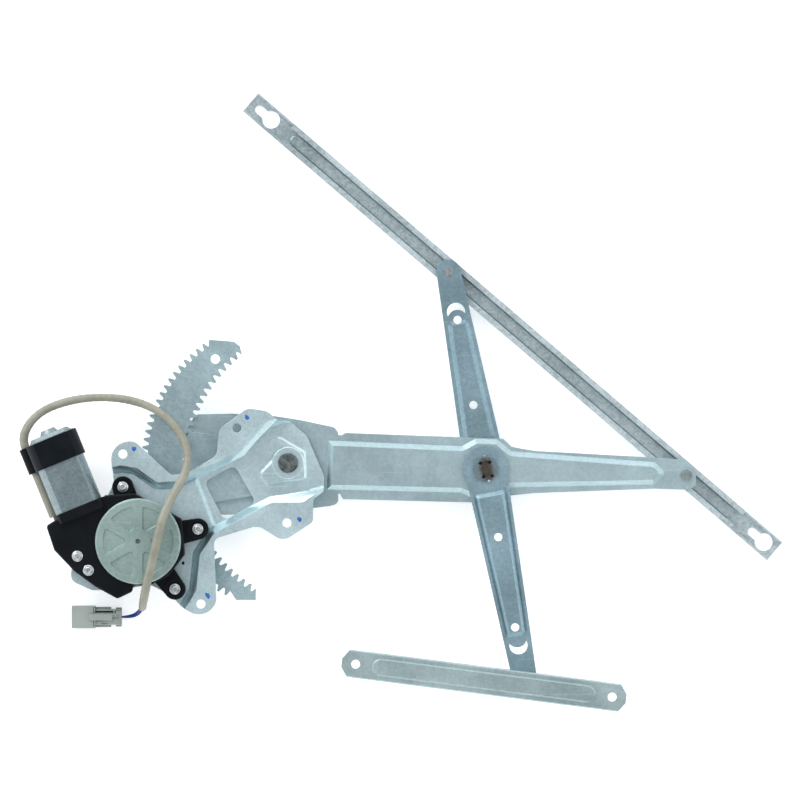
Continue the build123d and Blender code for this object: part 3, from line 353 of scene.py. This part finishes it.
def sleeve_vinyl():
    """Soft vinyl tube: greyish beige, slightly dirty, with fine creases across."""
    material, tree, shader = new_material("sleeve_vinyl")
    place = place_of(tree)
    clouds = noise(tree, place, 45.0, 5.0, 0.65)
    dirt = ramp(tree, noise(tree, place, 160.0, 6.0, 0.75), 0.52, 0.72)
    fine = noise(tree, place, 1100.0, 3.0, 0.6)
    colour = mix(tree, ramp(tree, clouds, 0.3, 0.7), (0.22, 0.22, 0.17), (0.33, 0.33, 0.27))
    colour = mix(tree, times(tree, dirt, 0.35), colour, (0.13, 0.125, 0.095))
    rough = ramp(tree, clouds, 0.3, 0.7, 0.38, 0.5)
    shader.inputs["Specular IOR Level"].default_value = 0.45
    set_finish(tree, shader, colour, rough, fine, 0.12, 0.0002)
    return material


def wire_plastic():
    material, tree, shader = new_material("wire_plastic")
    clouds = noise(tree, place_of(tree), 300.0, 4.0, 0.6)
    colour = mix(tree, clouds, (0.004, 0.025, 0.18), (0.012, 0.06, 0.32))
    set_finish(tree, shader, colour, ramp(tree, clouds, 0.3, 0.7, 0.28, 0.4), clouds, 0.05)
    return material


def make_materials():
    return {
        "plate": plated("plate_steel", (0.44, 0.57, 0.61), (0.67, 0.83, 0.87)),
        "lift": plated("lift_steel", (0.33, 0.44, 0.47), (0.48, 0.61, 0.65), roughness=0.4),
        "sector": plated("sector_steel", (0.27, 0.37, 0.40), (0.46, 0.59, 0.63), roughness=0.46,
                         turn=1.2, stain=0.5),
        "equalizer": plated("equalizer_steel", (0.19, 0.29, 0.33), (0.34, 0.48, 0.55),
                            roughness=0.38),
        "glass_rail": plated("glass_rail_steel", (0.34, 0.42, 0.44), (0.64, 0.74, 0.77),
                             roughness=0.38, turn=math.radians(RAIL_ANGLE), spangle=1.8, stain=0.45),
        "guide_rail": plated("guide_rail_steel", (0.30, 0.40, 0.41), (0.48, 0.59, 0.61),
                             roughness=0.38),
        "cover": plated("cover_steel", (0.22, 0.32, 0.30), (0.37, 0.48, 0.45), roughness=0.44,
                        stain=0.35),
        "can": plated("can_steel", (0.15, 0.20, 0.22), (0.32, 0.40, 0.42), roughness=0.34,
                      turn=math.radians(MOTOR_LEAN)),
        "bell": plated("bell_steel", (0.15, 0.20, 0.21), (0.27, 0.33, 0.34), roughness=0.36),
        "pivot": dark_steel("pivot_steel", (0.06, 0.07, 0.07), (0.20, 0.23, 0.23), 0.5),
        "stud": dark_steel("stud_steel", (0.22, 0.26, 0.27), (0.42, 0.48, 0.50), 0.42),
        "screw": dark_steel("screw_steel", (0.38, 0.42, 0.43), (0.72, 0.76, 0.77), 0.28),
        "shaft": dark_steel("shaft_steel", (0.30, 0.31, 0.32), (0.52, 0.53, 0.54), 0.3),
        "bronze": dark_steel("bush_bronze", (0.42, 0.26, 0.12), (0.62, 0.42, 0.22), 0.4),
        "iron": dark_steel("core_iron", (0.10, 0.10, 0.11), (0.24, 0.24, 0.25), 0.5, 0.6),
        "black": moulded("housing_black", (0.003, 0.004, 0.006), (0.006, 0.008, 0.010), 0.36,
                         specular=0.14),
        "rubber": moulded("cap_rubber", (0.003, 0.005, 0.007), (0.007, 0.010, 0.014), 0.5,
                          900.0, 0.2, specular=0.1),
        "nylon": moulded("slider_nylon", (0.62, 0.61, 0.55), (0.74, 0.73, 0.68), 0.45),
        "connector": moulded("connector_plastic", (0.30, 0.34, 0.32), (0.38, 0.42, 0.40), 0.42),
        "sleeve": sleeve_vinyl(),
        "paint": moulded("blue_paint", (0.005, 0.12, 0.45), (0.01, 0.15, 0.50), 0.4),
        # Near-black finish of the blots and boxes laid over holes, dents and slots: painted shade of
        # the openings
        "painted_shade": moulded("painted_gap_shade", (0.006, 0.006, 0.006), (0.014, 0.013, 0.012), 0.7,
                        specular=0.1),
        "hub": hub_steel(),
        "wire": wire_plastic(),
    }


MATERIAL_OF = {
    "base_plate": "plate", "lift_arm": "lift", "toothed_sector": "sector",
    "equalizer_upper_arm": "equalizer", "equalizer_lower_arm": "equalizer",
    "glass_rail": "glass_rail", "guide_rail": "guide_rail", "pivot_washer": "stud",
    "main_pivot": "pivot", "centre_hub": "hub", "lift_arm_stud": "stud",
    "upper_stud": "stud", "lower_stud": "stud", "lug_screws": "screw",
    "housing_screws": "screw", "gear_cover": "cover", "gear_housing": "black",
    "motor_can": "can", "end_bell": "bell", "rubber_cap": "rubber", "magnets": "iron",
    "shaft_bushes": "bronze", "output_shaft": "shaft", "output_pinion": "shaft",
    "armature_shaft": "shaft", "worm": "shaft", "armature_core": "iron",
    "commutator": "bronze", "worm_wheel": "nylon", "lift_arm_slider": "nylon",
    "upper_slider": "nylon", "lower_slider": "nylon", "harness_lead": "sleeve",
    "harness_sleeve": "sleeve", "harness_wires": "wire", "connector": "connector",
}


def dress_nodes(materials):
    for name, kind in MATERIAL_OF.items():
        piece = NODES[name]
        piece.data.materials.clear()
        piece.data.materials.append(materials[kind])


# Harness

def add_sleeve(materials):
    """Vinyl sleeve, a little flattened and creased where it bends."""
    points = route_points(SLEEVE_ROUTE)
    total = sum((b - a).length for a, b in zip(points, points[1:]))

    def radius_at(travelled, angle):
        flat = SLEEVE_FLAT * math.sin(2 * angle + 9.0 * travelled / total)
        crease = SLEEVE_CREASE * math.sin(2 * math.pi * travelled / CREASE_PITCH
                                          + 1.5 * math.sin(angle))
        swell = SLEEVE_SWELL * math.sin(2 * math.pi * travelled / SWELL_PITCH)
        return SLEEVE_R * (SLEEVE_MEAN + flat + crease + swell)

    fine = [a.lerp(b, k / 3) for a, b in zip(points, points[1:]) for k in range(3)] + [points[-1]]
    sleeve = add_tube("harness_sleeve_skin", fine, radius_at, 24)
    sleeve.data.materials.append(materials["sleeve"])
    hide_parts("harness_sleeve")
    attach(sleeve, "base")
    return sleeve, points


def add_wires(materials):
    """Two blue wires laid together from the sleeve's end into the connector."""
    points = route_points(WIRE_ROUTE, 20)
    frames = path_frames(points)
    pieces = []
    offset = 0.52 * WIRE_PAIR_R
    for number, phase in enumerate((0.0, math.pi), 1):
        line = []
        for i, (point, (_, side, up)) in enumerate(zip(points, frames)):
            turn = phase + WIRE_LAY * i / len(points)
            line.append(point + offset * (math.cos(turn) * side + math.sin(turn) * up))
        wire = add_tube(f"blue_wire_{number}", line, lambda s, a: 0.5 * WIRE_PAIR_R, 14)
        wire.data.materials.append(materials["wire"])
        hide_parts("harness_wires")
        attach(wire, "base")
        pieces.append(wire)
    return pieces


# Screws, marks, blots of painted shade over holes, and the connector's details

LUG_SCREWS = ((-112.2, -16.3), (-61.2, -44.9), (-76.8, -85.7))
LUG_TOP = 4.0
LUG_REACH = 11.2
LUG_SCREW_R = 2.6
HOUSING_SCREWS = ((-142.8, -63.2), (-135.3, -72.8))
HOUSING_TOP = 11.0
HOUSING_REACH = 12.0
HOUSING_SCREW_R = 2.4
SCREW_SIDES = 48
# Radius and height over the seat of each ring of a screw's head, and how far its lobes go, in mm
SCREW_HEAD = (
    (3.7, 0.0, 0.0), (3.7, 0.45, 0.0), (3.35, 0.7, 0.0), (2.8, 0.72, 0.0), (2.62, 0.95, 0.0),
    (2.55, 1.6, 0.0), (2.3, 2.0, 0.0), (1.9, 2.18, 0.0), (1.5, 2.2, 0.16), (1.36, 2.05, 0.16),
    (1.25, 0.9, 0.16),
)
RECESS_LOBES = 6


def add_revolved(name, at, base, rings, sides=SCREW_SIDES):
    """Solid of rings round a vertical axis, each with a radius, a height and a share of lobe."""
    verts = []
    for radius, height, lobe in rings:
        for k in range(sides):
            angle = 2 * math.pi * k / sides
            reach = radius * (1 + lobe * math.cos(RECESS_LOBES * angle))
            verts.append(from_pivot(at[0] + reach * math.cos(angle),
                                    at[1] + reach * math.sin(angle), base + height))
    piece = add_mesh(name, verts, ring_faces(len(rings), sides))
    piece.data.set_sharp_from_angle(angle=math.radians(35))
    return piece


def finish(piece, material, body):
    piece.data.materials.append(material)
    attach(piece, body)


def add_screws(materials):
    groups = (("lug_screw", "lug_screws", LUG_SCREWS, LUG_TOP, LUG_REACH,
               LUG_SCREW_R),
              ("housing_screw", "housing_screws", HOUSING_SCREWS, HOUSING_TOP,
               HOUSING_REACH, HOUSING_SCREW_R))
    for name, replaced, places, top, reach, radius in groups:
        for number, at in enumerate(places, 1):
            shank = ((radius - 0.4, -reach, 0.0), (radius, 0.5 - reach, 0.0), (radius, 0.0, 0.0))
            screw = add_revolved(f"{name}_{number}", at, top, shank + SCREW_HEAD)
            finish(screw, materials["screw"], "base")
            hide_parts(replaced)


PATCH_LIFT = 0.01           # keeps a patch clear of the face under it, in mm


def add_patch(name, at, level, half_x, half_y, turn=0.0, rise=0.04, sides=28):
    """Thin domed blot, such as a dab of paint or a spot of painted shade over a hole, lying on a
    face at that level.
    """
    verts = []
    rings = ((1.0, 0.0), (0.8, rise), (0.4, 1.4 * rise))
    for ring, height in rings:
        for k in range(sides):
            angle = 2 * math.pi * k / sides
            wobble = 1 + 0.10 * math.sin(3 * angle + at[0]) + 0.06 * math.sin(5 * angle)
            x = ring * half_x * wobble * math.cos(angle)
            y = ring * half_y * wobble * math.sin(angle)
            verts.append(from_pivot(at[0] + x * math.cos(turn) - y * math.sin(turn),
                                    at[1] + x * math.sin(turn) + y * math.cos(turn),
                                    level + PATCH_LIFT + height))
    return add_mesh(name, verts, ring_faces(len(rings), sides))


PAINT_DABS = ((-27.9, 31.0, 1.3, 1.9), (-104.7, 9.6, 1.6, 1.6), (7.8, -38.4, 1.4, 1.8),
              (-54.6, -90.2, 1.3, 2.3))
HUB_AT = (135.0, -4.6)
HUB_TOP = -6.55
# Stake dents in the hub; each gets a near-black blot of painted shade
HUB_HOLES = ((130.9, -0.2), (137.2, 0.5), (139.0, -8.8), (133.2, -9.3))
HUB_BLOBS = ((133.8, 4.6), (136.7, -12.4))
# Holes in the seat; each gets a near-black blot of painted shade
SEAT_LEVEL = -5.6
SEAT_HOLES = ((-68.6, -53.2), (-71.4, -68.2))


def add_marks_and_shade_blots(materials):
    for number, (x, y, half_x, half_y) in enumerate(PAINT_DABS, 1):
        dab = add_patch(f"paint_dab_{number}", (x, y), 0.0, half_x, half_y, 0.6)
        finish(dab, materials["paint"], "base")
    # Near-black blots over the stake dents: painted shade in the dents
    for number, at in enumerate(HUB_HOLES, 1):
        hole = add_patch(f"hub_stake_{number}", at, HUB_TOP, 1.25, 1.1, 0.3 * number)
        finish(hole, materials["painted_shade"], "equalizer")
    for number, at in enumerate(HUB_BLOBS, 1):
        blob = add_patch(f"hub_weld_{number}", at, HUB_TOP, 1.1, 0.9, 0.4, 0.3)
        finish(blob, materials["stud"], "equalizer")
    # Near-black blots over the seat's holes: painted shade in the holes
    for number, at in enumerate(SEAT_HOLES, 1):
        hole = add_patch(f"seat_hole_painted_shade_{number}", at, SEAT_LEVEL, 1.0, 1.2, 0.0)
        finish(hole, materials["painted_shade"], "base")


CONNECTOR_END = (-113.6, -105.2, -20.8)


def add_box(name, low, high, bevel=0.25):
    """Box with softened edges between two corners, in mm from the connector's wire end."""
    corners = [[end + place for end, place in zip(CONNECTOR_END, corner)]
               for corner in (low, high)]
    verts = [from_pivot(corners[i][0], corners[j][1], corners[k][2])
             for i in (0, 1) for j in (0, 1) for k in (0, 1)]
    faces = [(0, 1, 3, 2), (4, 6, 7, 5), (0, 4, 5, 1), (2, 3, 7, 6), (0, 2, 6, 4), (1, 5, 7, 3)]
    piece = add_mesh(name, verts, faces, smooth=False)
    edge = piece.modifiers.new("edge", "BEVEL")
    edge.width = bevel * MM
    edge.segments = 2
    return piece


def add_connector_details(materials):
    """Latch, its guide ribs and near-black boxes of painted shade standing for the slots beside it,
    on the connector's upper face.
    """
    pieces = []
    for name, low, high, kind in (
            # The slot pieces are raised near-black boxes: painted shade where the openings are
            ("slot_long", (-18.5, 3.0, 5.0), (-5.5, 4.3, 5.56), "painted_shade"),
            ("slot_end", (-4.6, 1.0, 5.0), (-3.9, 4.6, 5.56), "painted_shade"),
            ("slot_low", (-14.0, -4.9, 5.0), (-9.5, -4.3, 5.56), "painted_shade"),
            ("slot_mouth", (-19.2, -6.6, 6.2), (-18.7, 6.8, 6.56), "painted_shade"),
            ("latch_tongue", (-19.0, 0.2, 5.3), (-3.0, 2.7, 6.3), "connector"),
            ("latch_step", (-9.0, -4.2, 5.3), (-1.0, -1.0, 6.1), "connector"),
            ("latch_hook", (-3.6, 2.2, 5.3), (-0.3, 4.4, 6.5), "connector"),
            ("neck_rib", (-17.0, -4.4, 5.3), (-12.5, -2.6, 5.9), "connector")):
        piece = add_box(f"connector_{name}", low, high)
        finish(piece, materials[kind], "base")
        pieces.append(piece)
    return pieces


# Stage

def add_floor():
    low = CAD_BOX[0].z
    half = FLOOR_HALF
    floor = add_mesh("floor", [(-half, -half, low), (half, -half, low), (half, half, low),
                               (-half, half, low)], [(0, 1, 2, 3)])
    material, tree, shader = new_material("floor_white")
    shader.inputs["Base Color"].default_value = (0.9, 0.9, 0.9, 1.0)
    shader.inputs["Roughness"].default_value = 0.9
    glow = node(tree, "ShaderNodeEmission", {"Color": (1, 1, 1, 1)})
    rays = node(tree, "ShaderNodeLightPath")
    seen = node(tree, "ShaderNodeMath", {0: rays.outputs["Is Camera Ray"],
                                         1: rays.outputs["Is Glossy Ray"]},
                operation="MAXIMUM").outputs[0]
    tree.links.new(times(tree, seen, FLOOR_GLOW), glow.inputs["Strength"])
    both = node(tree, "ShaderNodeAddShader")
    tree.links.new(shader.outputs["BSDF"], both.inputs[0])
    tree.links.new(glow.outputs["Emission"], both.inputs[1])
    tree.links.new(both.outputs["Shader"], tree.nodes["Material Output"].inputs["Surface"])
    floor.data.materials.append(material)


def add_world():
    """White to the camera. To the part it is bright low down and darker overhead."""
    world = bpy.data.worlds.new("studio")
    world.use_nodes = True
    tree = world.node_tree
    background = tree.nodes["Background"]
    rays = node(tree, "ShaderNodeLightPath")
    coords = node(tree, "ShaderNodeTexCoord").outputs["Generated"]
    axes = node(tree, "ShaderNodeSeparateXYZ", {0: coords})
    level = ramp(tree, axes.outputs["Z"], *SKY_HEIGHTS, *SKY_LEVELS)
    lean = plus(tree, times(tree, axes.outputs["X"], SKY_LEAN[0]),
                times(tree, axes.outputs["Y"], SKY_LEAN[1]))
    level = times(tree, level, plus(tree, lean, 1.0))
    strength = node(tree, "ShaderNodeMapRange", {
        "Value": rays.outputs["Is Camera Ray"], "To Min": level, "To Max": 1.0})
    background.inputs["Color"].default_value = SKY_COLOUR
    tree.links.new(strength.outputs["Result"], background.inputs["Strength"])
    bpy.context.scene.world = world


def add_lamp(name, place, aim, size, power):
    data = bpy.data.lights.new(name, "AREA")
    data.shape = "RECTANGLE"
    data.size, data.size_y = size
    data.energy = power
    lamp = bpy.data.objects.new(name, data)
    lamp.location = place
    lamp.rotation_euler = (Vector(aim) - Vector(place)).to_track_quat("-Z", "Y").to_euler()
    bpy.context.scene.collection.objects.link(lamp)


def add_lights():
    aim = (VIEW_CENTRE[0], VIEW_CENTRE[1], 0)
    add_lamp("key", (-1.1, 1.3, 1.1), aim, (0.8, 0.5), 13.0)
    add_lamp("fill", (1.3, 0.2, 1.0), aim, (0.5, 1.0), 4.0)
    add_lamp("low", (0.1, -1.4, 0.7), aim, (1.0, 0.3), 4.0)


add_camera()
materials = make_materials()
dress_nodes(materials)
sleeve, sleeve_points = add_sleeve(materials)
wires = add_wires(materials)
details = add_connector_details(materials)
add_screws(materials)
add_marks_and_shade_blots(materials)
add_floor()
add_world()
add_lights()
bpy.context.scene.view_settings.view_transform = "Standard"
